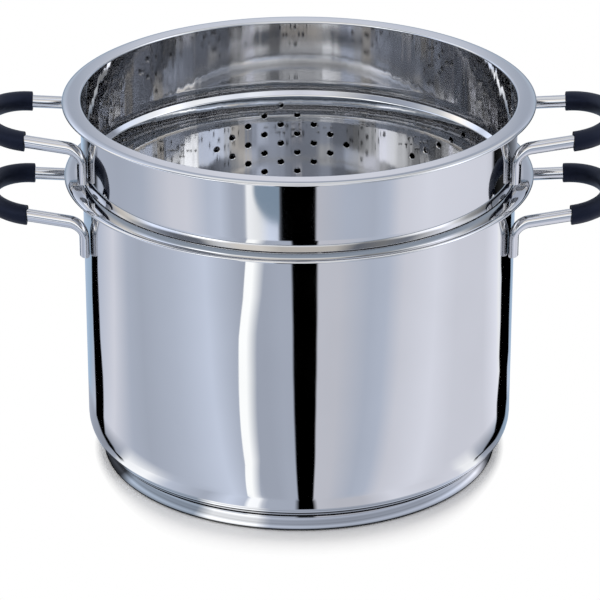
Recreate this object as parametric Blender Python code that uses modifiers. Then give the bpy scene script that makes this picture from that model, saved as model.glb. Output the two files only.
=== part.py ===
"""Steamer pot: a stockpot with a lifting perforated insert, both with loop handles and sleeve grips.

The model stands on the table at z = 0 with the pot's axis on Z and the handles along X.
The shells are turned profiles of thin sheet. The insert's conical shoulder seats on the rounded
mouth of the pot, and its basket is punched with groups of round holes in a diamond pattern.
Lengths are in metres and angles in degrees.
"""

import math

import bmesh
import bpy
from mathutils import Matrix, Vector

# Clearance that keeps neighbouring pieces apart where they touch on the real pot
SEAT_GAP = 0.0003

# Rounding of both rims where they turn down into the lip
LIP_BEND = 0.0012

# Pot shell
POT_OUTER_RADIUS = 0.1206
POT_SHEET = 0.0008
POT_HEIGHT = 0.1695
POT_RIM_WIDTH = 0.01
POT_LIP_HEIGHT = 0.0018
POT_MOUTH_BEND = 0.0012
POT_BOTTOM_BEND = 0.0162

# Bonded base under the pot shell
BASE_INSET = 0.0081
BASE_CAP_SHEET = 0.0006
BASE_CAP_HEIGHT = 0.0092
BASE_CAP_BEND = 0.002
BASE_CORE_THICKNESS = 0.0062

# Insert: its wall and neck are wider than the inside of the pot, its basket is narrower
INSERT_SHEET = 0.0007
INSERT_RISE = 0.0435
INSERT_RIM_WIDTH = 0.01
INSERT_LIP_HEIGHT = 0.0018
INSERT_MOUTH_BEND = 0.0012
WALL_OUTSIDE_POT = 0.0011
NECK_OUTSIDE_POT = 0.0006
CREASE_ABOVE_SEAT = 0.007
SHOULDER_BEND = 0.001
SHOULDER_ANGLE = 43.0
KNEE_BEND = 0.0015
KNEE_ANGLE = 76.5
BASKET_CLEARANCE = 0.0039
BASKET_NECK_BEND = 0.07
BASKET_DEPTH = 0.067
BASKET_BOTTOM_BEND = 0.006

# Round holes in groups: each group is a diamond that is widest in its middle column
HOLE_DIAMETER = 0.0037
WALL_GROUPS = 6
WALL_GROUP_START = -5.4
WALL_GROUP_ABOVE_FLOOR = 0.036
WALL_GROUP_COLUMNS = 9
WALL_COLUMN_PITCH = 0.0098
WALL_ROW_PITCH = 0.01185
FLOOR_GROUPS = 6
FLOOR_GROUP_RADIUS = 0.066
FLOOR_GROUP_COLUMNS = 3
FLOOR_CENTRE_COLUMNS = 5
FLOOR_COLUMN_PITCH = 0.0098
FLOOR_ROW_PITCH = 0.01185

# Loop handles of bent rod, welded to the wall by their flattened feet
ROD_RADIUS = 0.0035
FOOT_HALF_THICKNESS = 0.0026
FOOT_HALF_WIDTH = 0.0047
FOOT_SPACING = 0.071
FOOT_BELOW_RIM = 0.038
LOOP_BELOW_RIM = 0.0161
LEG_SPACING = 0.062
LEG_REACH = 0.0277
LOOP_DEPTH = 0.0253
LOOP_RISE_ANGLE = 6.0
ROD_BEND_RADIUS = 0.009

# Sleeve grips over the loops
GRIP_RADIUS = 0.0055
GRIP_END_SETBACK = 0.0015

# Fineness of the facets
TURN_STEPS = 42
NECK_STEPS = 2
HOLE_SIDES = 6
ROD_SIDES = 8
GRIP_SIDES = 8
LOOP_STEPS = 10

PARTS_COLLECTION = "steamer_pot"
CUTTERS_COLLECTION = "cutters"

# Sizes that follow from those above
POT_INNER_RADIUS = POT_OUTER_RADIUS - POT_SHEET
POT_RIM_RADIUS = POT_OUTER_RADIUS + POT_RIM_WIDTH
BASE_RADIUS = POT_OUTER_RADIUS - BASE_INSET
BASE_CORE_BOTTOM = BASE_CAP_SHEET + SEAT_GAP
BASE_CORE_TOP = BASE_CORE_BOTTOM + BASE_CORE_THICKNESS
POT_FLOOR_TOP = BASE_CORE_TOP + SEAT_GAP + POT_SHEET
INSERT_TOP = POT_HEIGHT + INSERT_RISE
INSERT_OUTER_RADIUS = POT_INNER_RADIUS + WALL_OUTSIDE_POT
INSERT_INNER_RADIUS = INSERT_OUTER_RADIUS - INSERT_SHEET
INSERT_RIM_RADIUS = INSERT_OUTER_RADIUS + INSERT_RIM_WIDTH
NECK_OUTER_RADIUS = POT_INNER_RADIUS + NECK_OUTSIDE_POT
BASKET_INNER_RADIUS = POT_INNER_RADIUS - BASKET_CLEARANCE - INSERT_SHEET
BASKET_FLOOR_HEIGHT = POT_HEIGHT - BASKET_DEPTH
LOOP_START = POT_OUTER_RADIUS + LEG_REACH


def clear_scene():
    for old in list(bpy.data.objects):
        bpy.data.objects.remove(old, do_unlink=True)


def collection(name, hidden=False):
    made = bpy.data.collections.new(name)
    made.hide_render = hidden
    bpy.context.scene.collection.children.link(made)
    return made


def material(name, colour, roughness, metallic):
    made = bpy.data.materials.new(name)
    made.use_nodes = True
    shader = made.node_tree.nodes["Principled BSDF"]
    shader.inputs["Base Color"].default_value = (*colour, 1.0)
    shader.inputs["Roughness"].default_value = roughness
    shader.inputs["Metallic"].default_value = metallic
    made.diffuse_color = (*colour, 1.0)
    return made


def add_object(name, data, group, surface=None, parent=None):
    made = bpy.data.objects.new(name, data)
    group.objects.link(made)
    if surface is not None:
        data.materials.append(surface)
    made.parent = parent
    return made


def polar(centre, radius, angle):
    """A point on a circle in the profile plane, with the angle in degrees from +X towards +Z."""
    turn = math.radians(angle)
    return centre[0] + radius * math.cos(turn), centre[1] + radius * math.sin(turn)


def arc(centre, radius, start, end, steps):
    return [polar(centre, radius, start + (end - start) * i / steps) for i in range(steps + 1)]


def rim_profile(rim_radius, top, lip_height, bend, wall_radius):
    """The upper side of a flat rim from its turned-down lip to the start of the inner wall."""
    lip = [(rim_radius, top - lip_height)]
    lip += arc((rim_radius - LIP_BEND, top - LIP_BEND), LIP_BEND, 0, 90, 2)
    return lip + arc((wall_radius + bend, top - bend), bend, 90, 180, 2)


def pot_profile():
    """The inner side of the pot, from the rim's lip down to the middle of the floor."""
    points = rim_profile(POT_RIM_RADIUS, POT_HEIGHT, POT_LIP_HEIGHT, POT_MOUTH_BEND, POT_INNER_RADIUS)
    corner = (POT_INNER_RADIUS - POT_BOTTOM_BEND, POT_FLOOR_TOP + POT_BOTTOM_BEND)
    points += arc(corner, POT_BOTTOM_BEND, 0, -90, 4)
    return points + [(0.0, POT_FLOOR_TOP)]


def seat_centre():
    """Centre of the bend at the top of the insert's shoulder, resting on the bend of the pot's mouth."""
    mouth = (POT_INNER_RADIUS + POT_MOUTH_BEND, POT_HEIGHT - POT_MOUTH_BEND)
    reach = POT_MOUTH_BEND + SEAT_GAP + SHOULDER_BEND
    across = mouth[0] - (NECK_OUTER_RADIUS - SHOULDER_BEND)
    return mouth[0] - across, mouth[1] + math.sqrt(reach**2 - across**2)


def neck_curve(seat_height):
    """The wall's lower end: upright at the crease, then leaning inwards more and more to the shoulder."""
    narrowing = WALL_OUTSIDE_POT - NECK_OUTSIDE_POT
    points = []
    for i in range(NECK_STEPS):
        share = i / NECK_STEPS
        radius = INSERT_INNER_RADIUS - narrowing * share**2
        points.append((radius, seat_height + CREASE_ABOVE_SEAT * (1 - share)))
    return points


def insert_profile():
    """The inner side of the insert: rim, upper wall, neck, conical shoulder, basket wall and floor."""
    points = rim_profile(
        INSERT_RIM_RADIUS, INSERT_TOP, INSERT_LIP_HEIGHT, INSERT_MOUTH_BEND, INSERT_INNER_RADIUS
    )
    seat = seat_centre()
    points += neck_curve(seat[1])
    points += arc(seat, SHOULDER_BEND - INSERT_SHEET, 0, SHOULDER_ANGLE - 90, 2)
    # Below the shoulder the wall curves the other way: a tight knee runs into a long bend.
    # Both have their centres outside the wall, and they meet where the wall is at the knee's angle.
    bend_centre = (BASKET_INNER_RADIUS + BASKET_NECK_BEND, 0.0)
    bend_top = polar(bend_centre, BASKET_NECK_BEND, 90 + KNEE_ANGLE)
    knee_centre = polar(bend_top, KNEE_BEND, KNEE_ANGLE - 90)
    knee_top = polar(knee_centre, KNEE_BEND, 90 + SHOULDER_ANGLE)
    slant = math.tan(math.radians(SHOULDER_ANGLE))
    drop = points[-1][1] - (points[-1][0] - knee_top[0]) * slant - knee_top[1]
    points += arc((knee_centre[0], knee_centre[1] + drop), KNEE_BEND, 90 + SHOULDER_ANGLE, 90 + KNEE_ANGLE, 1)
    points += arc((bend_centre[0], drop), BASKET_NECK_BEND, 90 + KNEE_ANGLE, 180, 2)[1:]
    corner = (BASKET_INNER_RADIUS - BASKET_BOTTOM_BEND, BASKET_FLOOR_HEIGHT + BASKET_BOTTOM_BEND)
    points += arc(corner, BASKET_BOTTOM_BEND, 0, -90, 3)
    return points + [(0.0, BASKET_FLOOR_HEIGHT)]


def base_cap_profile():
    """The inner side of the cap, from its top edge to the middle of its floor."""
    inside = BASE_RADIUS - BASE_CAP_SHEET
    bend = BASE_CAP_BEND - BASE_CAP_SHEET
    points = [(inside, BASE_CAP_HEIGHT)]
    points += arc((inside - bend, BASE_CAP_SHEET + bend), bend, 0, -90, 2)
    return points + [(0.0, BASE_CAP_SHEET)]


def base_core_profile():
    """The outer side of the aluminium disc, from the middle of its top to the middle of its bottom."""
    radius = BASE_RADIUS - BASE_CAP_SHEET - SEAT_GAP
    bend = BASE_CAP_BEND - BASE_CAP_SHEET
    points = [(0.0, BASE_CORE_TOP), (radius, BASE_CORE_TOP)]
    points += arc((radius - bend, BASE_CORE_BOTTOM + bend), bend, 0, -90, 2)
    return points + [(0.0, BASE_CORE_BOTTOM)]


def turned(name, profile, group, surface, parent=None, sheet=0.0):
    """A profile turned round Z. With a sheet thickness it is an open surface, thickened outwards."""
    mesh = bpy.data.meshes.new(name)
    vertices = [(x, 0.0, z) for x, z in profile]
    edges = [(i, i + 1) for i in range(len(profile) - 1)]
    mesh.from_pydata(vertices, edges, [])
    made = add_object(name, mesh, group, surface, parent)
    screw = made.modifiers.new("turn", "SCREW")
    screw.axis = "Z"
    screw.steps = TURN_STEPS
    screw.render_steps = TURN_STEPS
    screw.use_merge_vertices = True
    screw.merge_threshold = 0.00001
    screw.use_smooth_shade = True
    if sheet:
        shell = made.modifiers.new("sheet", "SOLIDIFY")
        shell.thickness = sheet
        shell.offset = 1.0
        shell.use_even_offset = True
        shell.use_quality_normals = True
    return made


def diamond(columns, column_pitch, row_pitch):
    """Offsets across and up of a diamond of holes: one hole in the outer columns, most in the middle."""
    middle = (columns - 1) // 2
    offsets = []
    for column in range(columns):
        count = middle + 1 - abs(column - middle)
        across = (column - middle) * column_pitch
        offsets += [(across, (i - (count - 1) / 2) * row_pitch) for i in range(count)]
    return offsets


def hole_cutters(group):
    """One hidden object with a short rod for every hole in the basket's wall and floor."""
    mesh = bmesh.new()
    depth = 10 * INSERT_SHEET
    middle_radius = BASKET_INNER_RADIUS + INSERT_SHEET / 2
    radius = HOLE_DIAMETER / 2

    def rod(place):
        bmesh.ops.create_cone(
            mesh, cap_ends=True, segments=HOLE_SIDES, radius1=radius, radius2=radius, depth=depth, matrix=place
        )

    lying = Matrix.Rotation(math.radians(90), 4, "X")
    wall_middle = BASKET_FLOOR_HEIGHT + WALL_GROUP_ABOVE_FLOOR
    for index in range(WALL_GROUPS):
        heading = math.radians(WALL_GROUP_START + index * 360 / WALL_GROUPS)
        for across, up in diamond(WALL_GROUP_COLUMNS, WALL_COLUMN_PITCH, WALL_ROW_PITCH):
            turn = Matrix.Rotation(-heading - across / BASKET_INNER_RADIUS, 4, "Z")
            rod(turn @ Matrix.Translation((0.0, middle_radius, wall_middle + up)) @ lying)
    floor_middle = BASKET_FLOOR_HEIGHT - INSERT_SHEET / 2
    for index in range(FLOOR_GROUPS):
        heading = math.radians(WALL_GROUP_START + (index + 0.5) * 360 / FLOOR_GROUPS)
        turn = Matrix.Rotation(-heading, 4, "Z")
        for across, out in diamond(FLOOR_GROUP_COLUMNS, FLOOR_COLUMN_PITCH, FLOOR_ROW_PITCH):
            rod(turn @ Matrix.Translation((across, FLOOR_GROUP_RADIUS + out, floor_middle)))
    for across, along in diamond(FLOOR_CENTRE_COLUMNS, FLOOR_COLUMN_PITCH, FLOOR_ROW_PITCH):
        rod(Matrix.Translation((across, along, floor_middle)))
    data = bpy.data.meshes.new("hole_cutters")
    mesh.to_mesh(data)
    mesh.free()
    cutters = add_object("hole_cutters", data, group)
    cutters.hide_render = True
    cutters.display_type = "WIRE"
    return cutters


def loop_points(rim_height):
    """The sleeve's part of the rod: the outer ends of both legs and the rounded end of the loop."""
    rise = math.tan(math.radians(LOOP_RISE_ANGLE))
    middle = rim_height - LOOP_BELOW_RIM
    half = LEG_SPACING / 2
    points = []
    for i in range(LOOP_STEPS + 1):
        turn = math.radians(-90 + 180 * i / LOOP_STEPS)
        out = LOOP_DEPTH * math.cos(turn)
        points.append(Vector((LOOP_START + out, half * math.sin(turn), middle + out * rise)))
    return points


def foot_place(wall_radius):
    """Where the middle of the near foot lies in plan, and the direction along the wall there."""
    reach = wall_radius + SEAT_GAP + FOOT_HALF_THICKNESS
    across = -FOOT_SPACING / 2
    out = math.sqrt(reach**2 - across**2)
    along = Vector((-across, out, 0.0)).normalized()
    return Vector((out, across, 0.0)), along


def near_leg(wall_radius, rim_height):
    """Stations of the rod from the near foot to the loop: place, direction across and how flat it is."""
    foot, along_wall = foot_place(wall_radius)
    loop_start = loop_points(rim_height)[0]
    rise = math.tan(math.radians(LOOP_RISE_ANGLE))
    run = Vector((loop_start.x - foot.x, loop_start.y - foot.y, 0.0))
    heading = run.normalized()
    across_leg = Vector((-heading.y, heading.x, 0.0))
    corner_height = loop_start.z - run.length * rise
    turn_angle = math.radians(90 - LOOP_RISE_ANGLE)
    setback = ROD_BEND_RADIUS * math.tan(turn_angle / 2)
    bottom = rim_height - FOOT_BELOW_RIM
    bend_start = corner_height - setback
    stations = [(Vector((foot.x, foot.y, bottom)), along_wall, 1.0)]
    stations.append((Vector((foot.x, foot.y, (bottom + bend_start) / 2)), along_wall, 1.0))
    steps = 5
    for i in range(steps + 1):
        turn = turn_angle * i / steps
        out = ROD_BEND_RADIUS * (1 - math.cos(turn))
        up = ROD_BEND_RADIUS * math.sin(turn)
        place = Vector((foot.x, foot.y, bend_start + up)) + heading * out
        share = i / steps
        stations.append((place, along_wall.lerp(across_leg, share).normalized(), 1.0 - share))
    return stations


def rod_stations(wall_radius, rim_height):
    """The whole rod from foot to foot."""
    near = near_leg(wall_radius, rim_height)
    loop = loop_points(rim_height)
    stations = list(near)
    for i, place in enumerate(loop):
        before = loop[max(i - 1, 0)]
        after = loop[min(i + 1, len(loop) - 1)]
        ahead = (after - before).normalized() if 0 < i < len(loop) - 1 else None
        if ahead is None:
            ahead = Vector((1.0 if i == 0 else -1.0, 0.0, 0.0))
        stations.append((place, Vector((-ahead.y, ahead.x, 0.0)).normalized(), 0.0))
    for place, across, flat in reversed(near):
        stations.append((Vector((place.x, -place.y, place.z)), Vector((across.x, -across.y, 0.0)), flat))
    return stations


def rod_mesh(name, wall_radius, rim_height):
    """A loft along the rod: round where it is gripped, flattened to an oval where it is welded on."""
    stations = rod_stations(wall_radius, rim_height)
    mesh = bmesh.new()
    rings = []
    for i, (place, across, flat) in enumerate(stations):
        before = stations[max(i - 1, 0)][0]
        after = stations[min(i + 1, len(stations) - 1)][0]
        ahead = (after - before).normalized()
        across = (across - ahead * across.dot(ahead)).normalized()
        thick = ahead.cross(across)
        half_width = ROD_RADIUS + (FOOT_HALF_WIDTH - ROD_RADIUS) * flat
        half_thickness = ROD_RADIUS + (FOOT_HALF_THICKNESS - ROD_RADIUS) * flat
        ring = []
        for side in range(ROD_SIDES):
            turn = 2 * math.pi * (side + 0.5) / ROD_SIDES
            offset = across * half_width * math.cos(turn) + thick * half_thickness * math.sin(turn)
            ring.append(mesh.verts.new(place + offset))
        rings.append(ring)
    for first, second in zip(rings[:-1], rings[1:]):
        for side in range(ROD_SIDES):
            after = (side + 1) % ROD_SIDES
            mesh.faces.new((first[side], first[after], second[after], second[side]))
    mesh.faces.new(rings[0])
    mesh.faces.new(rings[-1])
    bmesh.ops.recalc_face_normals(mesh, faces=mesh.faces)
    data = bpy.data.meshes.new(name)
    mesh.to_mesh(data)
    mesh.free()
    data.shade_smooth()
    data.set_sharp_from_angle(angle=math.radians(40))
    return data


def grip_curve(name, rim_height):
    """The middle line of a sleeve's wall, bevelled to its outer radius and left open at both ends."""
    points = loop_points(rim_height)
    setback = Vector((GRIP_END_SETBACK, 0.0, GRIP_END_SETBACK * math.tan(math.radians(LOOP_RISE_ANGLE))))
    points[0] = points[0] + setback
    points[-1] = points[-1] + setback
    curve = bpy.data.curves.new(name, "CURVE")
    curve.dimensions = "3D"
    curve.bevel_depth = GRIP_RADIUS
    curve.bevel_resolution = GRIP_SIDES // 2 - 2
    spline = curve.splines.new("POLY")
    spline.points.add(len(points) - 1)
    for knot, place in zip(spline.points, points):
        knot.co = (*place, 1.0)
    return curve


def add_handle(prefix, wall_radius, rim_height, group, steel, rubber, parent):
    """Two opposite handles of bent rod and the sleeve grip of each."""
    rod = rod_mesh(prefix + "_handle", wall_radius, rim_height)
    for side, turn in (("right", 0.0), ("left", math.pi)):
        handle = add_object(f"{prefix}_handle_{side}", rod.copy(), group, steel, parent)
        handle.rotation_euler.z = turn
        curve = grip_curve(f"{prefix}_grip_{side}", rim_height)
        grip = add_object(f"{prefix}_grip_{side}", curve, group, rubber, parent)
        grip.rotation_euler.z = turn
        wall = grip.modifiers.new("sleeve", "SOLIDIFY")
        flat_to_middle = GRIP_RADIUS * math.cos(math.pi / GRIP_SIDES)
        wall.thickness = flat_to_middle - ROD_RADIUS - SEAT_GAP
        wall.offset = -1.0
        wall.use_even_offset = True


def build():
    clear_scene()
    parts = collection(PARTS_COLLECTION)
    cutters = collection(CUTTERS_COLLECTION, hidden=True)
    steel = material("polished_steel", (0.62, 0.62, 0.64), 0.12, 1.0)
    satin = material("insert_steel", (0.6, 0.6, 0.61), 0.16, 1.0)
    cap_steel = material("base_cap_steel", (0.58, 0.59, 0.61), 0.2, 1.0)
    aluminium = material("base_aluminium", (0.72, 0.72, 0.73), 0.45, 1.0)
    rod_steel = material("rod_steel", (0.6, 0.61, 0.63), 0.15, 1.0)
    rubber = material("grip_silicone", (0.012, 0.013, 0.018), 0.5, 0.0)

    turned("pot_body", pot_profile(), parts, steel, sheet=POT_SHEET)
    turned("base_core", base_core_profile(), parts, aluminium)
    turned("base_cap", base_cap_profile(), parts, cap_steel, sheet=BASE_CAP_SHEET)
    add_handle("pot", POT_OUTER_RADIUS, POT_HEIGHT, parts, rod_steel, rubber, None)

    insert = add_object("insert", None, parts)
    body = turned("insert_body", insert_profile(), parts, satin, insert, INSERT_SHEET)
    punch = body.modifiers.new("holes", "BOOLEAN")
    punch.operation = "DIFFERENCE"
    punch.solver = "EXACT"
    punch.object = hole_cutters(cutters)
    add_handle("insert", INSERT_OUTER_RADIUS, INSERT_TOP, parts, rod_steel, rubber, insert)


build()
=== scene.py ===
"""Looks of the steamer pot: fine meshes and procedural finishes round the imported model.

Every shell is turned again with fine facets from the same profile as the CAD solid. The rods and
sleeves are lofted along the same lines. The world stands in for the studio: plain white for the
camera, plain soft light for matt surfaces, and panels of light and shade for what polished steel
mirrors. A table that only mirrored rays see carries the black wedge, the white strip and the side
bands. Lengths are in metres and angles in degrees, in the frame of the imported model.
"""

import math

import bmesh
import bpy
import numpy as np
from mathutils import Matrix, Vector


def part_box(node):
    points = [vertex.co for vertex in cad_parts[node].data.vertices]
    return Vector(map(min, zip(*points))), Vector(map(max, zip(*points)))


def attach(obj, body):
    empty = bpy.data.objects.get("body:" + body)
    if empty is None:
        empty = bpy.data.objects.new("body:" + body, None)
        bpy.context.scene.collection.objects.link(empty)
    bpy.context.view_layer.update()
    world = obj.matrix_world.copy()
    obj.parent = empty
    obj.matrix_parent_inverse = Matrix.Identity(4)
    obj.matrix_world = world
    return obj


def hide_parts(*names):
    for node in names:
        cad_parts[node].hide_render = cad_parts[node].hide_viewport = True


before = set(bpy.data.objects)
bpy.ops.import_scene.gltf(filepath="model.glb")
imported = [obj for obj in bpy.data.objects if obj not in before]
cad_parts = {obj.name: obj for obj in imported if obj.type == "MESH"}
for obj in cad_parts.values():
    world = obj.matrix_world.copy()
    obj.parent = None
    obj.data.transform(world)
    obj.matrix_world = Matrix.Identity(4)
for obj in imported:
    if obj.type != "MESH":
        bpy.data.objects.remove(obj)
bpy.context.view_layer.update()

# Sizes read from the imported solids
POT_LOW, POT_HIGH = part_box("pot_body")
INSERT_LOW, INSERT_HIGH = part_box("insert_body")
CAP_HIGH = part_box("base_cap")[1]

# Pot shell
POT_TOP = POT_HIGH.z
POT_RIM_RADIUS = POT_HIGH.x
POT_SHEET = 0.0008
POT_RIM_WIDTH = 0.01
POT_INNER_RADIUS = POT_RIM_RADIUS - POT_RIM_WIDTH - POT_SHEET
POT_OUTER_RADIUS = POT_INNER_RADIUS + POT_SHEET
POT_FLOOR_TOP = POT_LOW.z + POT_SHEET
POT_LIP_HEIGHT = 0.0018
POT_MOUTH_BEND = 0.0012
POT_BOTTOM_BEND = 0.0162

# Rolled edge of both rims: how far it reaches across the flange, and its share of the lip's height
LIP_ROLL = 0.0036
LIP_ROLL_SHARE = 0.9

# Base
BASE_RADIUS = CAP_HIGH.x
BASE_CAP_TOP = CAP_HIGH.z
BASE_CAP_SHEET = 0.0006
BASE_CAP_BEND = 0.002

# Insert
SEAT_GAP = 0.0003
INSERT_TOP = INSERT_HIGH.z
INSERT_RIM_RADIUS = INSERT_HIGH.x
INSERT_SHEET = 0.0007
INSERT_RIM_WIDTH = 0.01
INSERT_OUTER_RADIUS = INSERT_RIM_RADIUS - INSERT_RIM_WIDTH
INSERT_INNER_RADIUS = INSERT_OUTER_RADIUS - INSERT_SHEET
INSERT_LIP_HEIGHT = 0.0018
INSERT_MOUTH_BEND = 0.0012
NECK_OUTSIDE_POT = 0.0006
NECK_OUTER_RADIUS = POT_INNER_RADIUS + NECK_OUTSIDE_POT
NECK_STEPS = 10
CREASE_ABOVE_SEAT = 0.007
SHOULDER_BEND = 0.001
SHOULDER_ANGLE = 43.0
KNEE_BEND = 0.0015
KNEE_ANGLE = 76.5
BASKET_CLEARANCE = 0.0039
BASKET_INNER_RADIUS = POT_INNER_RADIUS - BASKET_CLEARANCE - INSERT_SHEET
BASKET_NECK_BEND = 0.07
BASKET_FLOOR = INSERT_LOW.z + INSERT_SHEET
BASKET_BOTTOM_BEND = 0.006

# Round holes in diamond groups
HOLE_RADIUS = 0.00185
HOLE_CHAMFER = 0.00022
HOLE_SIDES = 20
HOLE_CUT_REACH = 0.0035
HOLE_FLARE = 0.001
WALL_GROUPS = 6
WALL_GROUP_START = -5.4
WALL_GROUP_ABOVE_FLOOR = 0.036
WALL_GROUP_COLUMNS = 9
FLOOR_GROUPS = 6
FLOOR_GROUP_RADIUS = 0.066
FLOOR_GROUP_COLUMNS = 3
FLOOR_CENTRE_COLUMNS = 5
COLUMN_PITCH = 0.0098
ROW_PITCH = 0.01185

# Handles
ROD_RADIUS = 0.0035
FOOT_HALF_THICKNESS = 0.0026
FOOT_HALF_WIDTH = 0.0047
FOOT_SPACING = 0.071
FOOT_BELOW_RIM = 0.038
LOOP_BELOW_RIM = 0.0161
LEG_SPACING = 0.062
LEG_REACH = 0.0277
LOOP_START = POT_OUTER_RADIUS + LEG_REACH
LOOP_DEPTH = 0.0253
LOOP_RISE_ANGLE = 6.0
ROD_BEND_RADIUS = 0.009
GRIP_RADIUS = 0.0055
GRIP_BORE = ROD_RADIUS + SEAT_GAP
GRIP_END_SETBACK = 0.0015
GRIP_EDGE_BEND = 0.0005

# Fineness of the meshes, and the angle from which an edge is shaded as sharp
TURN_STEPS = 360
ARC_STEP = 9.0
BASKET_NECK_STEPS = 8
ROD_SIDES = 28
ROD_BEND_STEPS = 18
LOOP_STEPS = 40
SHARP_EDGE_ANGLE = 35.0
FLAT_FACE_WEIGHT = 80


def polar(centre, radius, angle):
    turn = math.radians(angle)
    return centre[0] + radius * math.cos(turn), centre[1] + radius * math.sin(turn)


def arc(centre, radius, start, end):
    steps = max(1, round(abs(end - start) / ARC_STEP))
    return [polar(centre, radius, start + (end - start) * i / steps) for i in range(steps + 1)]


def rim_profile(rim_radius, top, lip_height, bend, wall_radius):
    """The rim from its outer edge inwards: a flat roll, the flange and the bend into the mouth."""
    lip = [(rim_radius, top - lip_height)]
    for across, up in arc((0.0, 0.0), 1.0, 0, 90):
        lip.append((rim_radius - LIP_ROLL * (1 - across), top - lip_height * LIP_ROLL_SHARE * (1 - up)))
    return lip + arc((wall_radius + bend, top - bend), bend, 90, 180)


def pot_profile():
    points = rim_profile(POT_RIM_RADIUS, POT_TOP, POT_LIP_HEIGHT, POT_MOUTH_BEND, POT_INNER_RADIUS)
    corner = (POT_INNER_RADIUS - POT_BOTTOM_BEND, POT_FLOOR_TOP + POT_BOTTOM_BEND)
    points += arc(corner, POT_BOTTOM_BEND, 0, -90)
    return points + [(0.0, POT_FLOOR_TOP)]


def seat_centre():
    mouth = (POT_INNER_RADIUS + POT_MOUTH_BEND, POT_TOP - POT_MOUTH_BEND)
    reach = POT_MOUTH_BEND + SEAT_GAP + SHOULDER_BEND
    across = mouth[0] - (NECK_OUTER_RADIUS - SHOULDER_BEND)
    return mouth[0] - across, mouth[1] + math.sqrt(reach**2 - across**2)


def neck_curve(seat_height):
    """The wall's lower end: upright at the crease, then leaning inwards to the shoulder."""
    narrowing = INSERT_OUTER_RADIUS - NECK_OUTER_RADIUS
    points = []
    for i in range(NECK_STEPS):
        share = i / NECK_STEPS
        radius = INSERT_INNER_RADIUS - narrowing * share**2
        points.append((radius, seat_height + CREASE_ABOVE_SEAT * (1 - share)))
    return points


def insert_profile():
    points = rim_profile(
        INSERT_RIM_RADIUS, INSERT_TOP, INSERT_LIP_HEIGHT, INSERT_MOUTH_BEND, INSERT_INNER_RADIUS
    )
    seat = seat_centre()
    points += neck_curve(seat[1])
    points += arc(seat, SHOULDER_BEND - INSERT_SHEET, 0, SHOULDER_ANGLE - 90)
    bend_centre = (BASKET_INNER_RADIUS + BASKET_NECK_BEND, 0.0)
    bend_top = polar(bend_centre, BASKET_NECK_BEND, 90 + KNEE_ANGLE)
    knee_centre = polar(bend_top, KNEE_BEND, KNEE_ANGLE - 90)
    knee_top = polar(knee_centre, KNEE_BEND, 90 + SHOULDER_ANGLE)
    slant = math.tan(math.radians(SHOULDER_ANGLE))
    drop = points[-1][1] - (points[-1][0] - knee_top[0]) * slant - knee_top[1]
    knee_centre = (knee_centre[0], knee_centre[1] + drop)
    points += arc(knee_centre, KNEE_BEND, 90 + SHOULDER_ANGLE, 90 + KNEE_ANGLE)
    sweep = 90 - KNEE_ANGLE
    for i in range(1, BASKET_NECK_STEPS + 1):
        angle = 90 + KNEE_ANGLE + sweep * i / BASKET_NECK_STEPS
        points.append(polar((bend_centre[0], drop), BASKET_NECK_BEND, angle))
    corner = (BASKET_INNER_RADIUS - BASKET_BOTTOM_BEND, BASKET_FLOOR + BASKET_BOTTOM_BEND)
    points += arc(corner, BASKET_BOTTOM_BEND, 0, -90)
    return points + [(0.0, BASKET_FLOOR)]


def base_cap_profile():
    inside = BASE_RADIUS - BASE_CAP_SHEET
    bend = BASE_CAP_BEND - BASE_CAP_SHEET
    points = [(inside, BASE_CAP_TOP)]
    points += arc((inside - bend, BASE_CAP_SHEET + bend), bend, 0, -90)
    return points + [(0.0, BASE_CAP_SHEET)]


def offset_outwards(profile, distance):
    """The profile moved outwards by a sheet's thickness, mitred at its corners."""
    points = np.array(profile)
    runs = np.diff(points, axis=0)
    lengths = np.linalg.norm(runs, axis=1, keepdims=True)
    normals = np.stack([-runs[:, 1], runs[:, 0]], axis=1) / lengths
    before = np.vstack([normals[:1], normals])
    after = np.vstack([normals, normals[-1:]])
    mitre = before + after
    mitre /= np.linalg.norm(mitre, axis=1, keepdims=True)
    shares = np.sum(mitre * before, axis=1, keepdims=True)
    moved = points + mitre * distance / shares
    moved[-1, 0] = 0.0
    return [tuple(p) for p in moved]


def turned(name, profile, sheet):
    """A closed shell: the profile and its outward offset, turned round Z."""
    section = list(reversed(profile)) + offset_outwards(profile, sheet)
    mesh = bmesh.new()
    rings = []
    for radius, height in section:
        if radius == 0.0:
            rings.append([mesh.verts.new((0.0, 0.0, height))])
            continue
        ring = []
        for i in range(TURN_STEPS):
            turn = 2 * math.pi * i / TURN_STEPS
            ring.append(mesh.verts.new((radius * math.cos(turn), radius * math.sin(turn), height)))
        rings.append(ring)
    for first, second in zip(rings[:-1], rings[1:]):
        for i in range(TURN_STEPS):
            after = (i + 1) % TURN_STEPS
            if len(first) == 1:
                mesh.faces.new((first[0], second[i], second[after]))
            elif len(second) == 1:
                mesh.faces.new((first[i], second[0], first[after]))
            else:
                mesh.faces.new((first[i], second[i], second[after], first[after]))
    bmesh.ops.recalc_face_normals(mesh, faces=mesh.faces)
    return as_object(name, mesh)


def as_object(name, mesh):
    data = bpy.data.meshes.new(name)
    mesh.to_mesh(data)
    mesh.free()
    data.shade_smooth()
    data.set_sharp_from_angle(angle=math.radians(SHARP_EDGE_ANGLE))
    made = bpy.data.objects.new(name, data)
    bpy.context.scene.collection.objects.link(made)
    return made


def diamond(columns):
    middle = (columns - 1) // 2
    offsets = []
    for column in range(columns):
        count = middle + 1 - abs(column - middle)
        across = (column - middle) * COLUMN_PITCH
        offsets += [(across, (i - (count - 1) / 2) * ROW_PITCH) for i in range(count)]
    return offsets


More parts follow.
